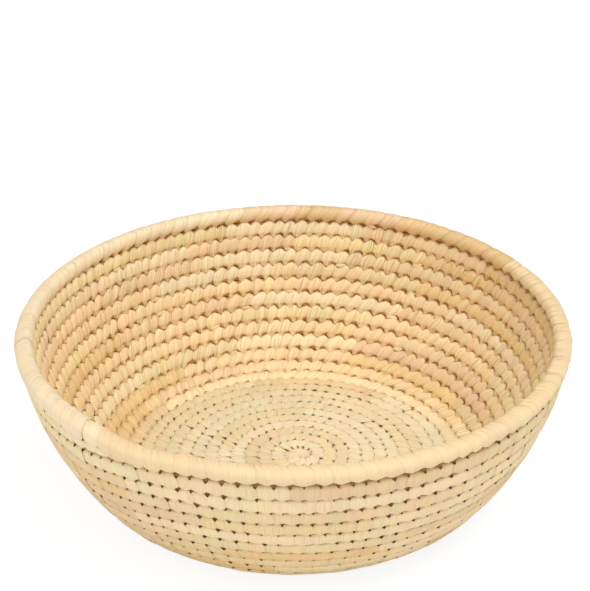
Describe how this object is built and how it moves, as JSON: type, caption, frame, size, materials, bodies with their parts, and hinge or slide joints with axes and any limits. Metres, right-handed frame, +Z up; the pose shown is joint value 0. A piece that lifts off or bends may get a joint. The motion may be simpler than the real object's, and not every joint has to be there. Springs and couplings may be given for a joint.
{
  "type": "coiled basket",
  "caption": "Round open basket, wound in one spiral from a grass bundle wrapped with strips of palm leaf, with a flat base, round sides and a thicker rim.",
  "frame": {"origin": "on the floor, under the middle of the base", "axes": "+Z up out of the bowl, through the middle of the base; +Y to the back of the picture, +X to its right"},
  "size_m": [0.3006, 0.3006, 0.0955],
  "materials": {
    "grass_bundle": "matte",
    "leaf_straw": "satin",
    "leaf_cream": "satin",
    "leaf_pink": "satin",
    "leaf_ochre": "satin",
    "leaf_green": "satin"
  },
  "bodies": {
    "root": {"foundation_coil": "grass_bundle", "start_knot": "leaf_straw", "base_strip_01": "leaf_cream", "base_strip_02": "leaf_pink", "base_strip_03": "leaf_straw", "base_strip_04": "leaf_cream", "base_strip_05": "leaf_ochre", "base_strip_06": "leaf_straw", "base_strip_07": "leaf_green", "base_strip_08": "leaf_cream", "base_strip_09": "leaf_pink", "base_strip_10": "leaf_straw", "base_strip_11": "leaf_cream", "base_strip_12": "leaf_pink", "side_strip_01": "leaf_cream", "side_strip_02": "leaf_pink", "side_strip_03": "leaf_straw", "side_strip_04": "leaf_cream", "side_strip_05": "leaf_ochre", "side_strip_06": "leaf_straw", "side_strip_07": "leaf_green", "side_strip_08": "leaf_cream", "side_strip_09": "leaf_pink", "side_strip_10": "leaf_straw", "side_strip_11": "leaf_cream", "side_strip_12": "leaf_pink", "side_strip_13": "leaf_straw", "side_strip_14": "leaf_cream", "side_strip_15": "leaf_ochre", "side_strip_16": "leaf_straw", "side_strip_17": "leaf_green", "side_strip_18": "leaf_cream", "side_strip_19": "leaf_pink", "side_strip_20": "leaf_straw", "side_strip_21": "leaf_cream", "side_strip_22": "leaf_pink", "side_strip_23": "leaf_straw", "side_strip_24": "leaf_cream", "side_strip_25": "leaf_ochre", "side_strip_26": "leaf_straw", "side_strip_27": "leaf_green", "side_strip_28": "leaf_cream", "side_strip_29": "leaf_pink", "side_strip_30": "leaf_straw", "side_strip_31": "leaf_cream", "side_strip_32": "leaf_pink", "side_strip_33": "leaf_straw", "side_strip_34": "leaf_cream", "side_strip_35": "leaf_ochre", "side_strip_36": "leaf_straw", "side_strip_37": "leaf_green", "rim_strip_01": "leaf_cream", "rim_strip_02": "leaf_pink", "rim_strip_03": "leaf_straw", "rim_strip_04": "leaf_cream", "rim_strip_05": "leaf_ochre"}
  },
  "joints": []
}
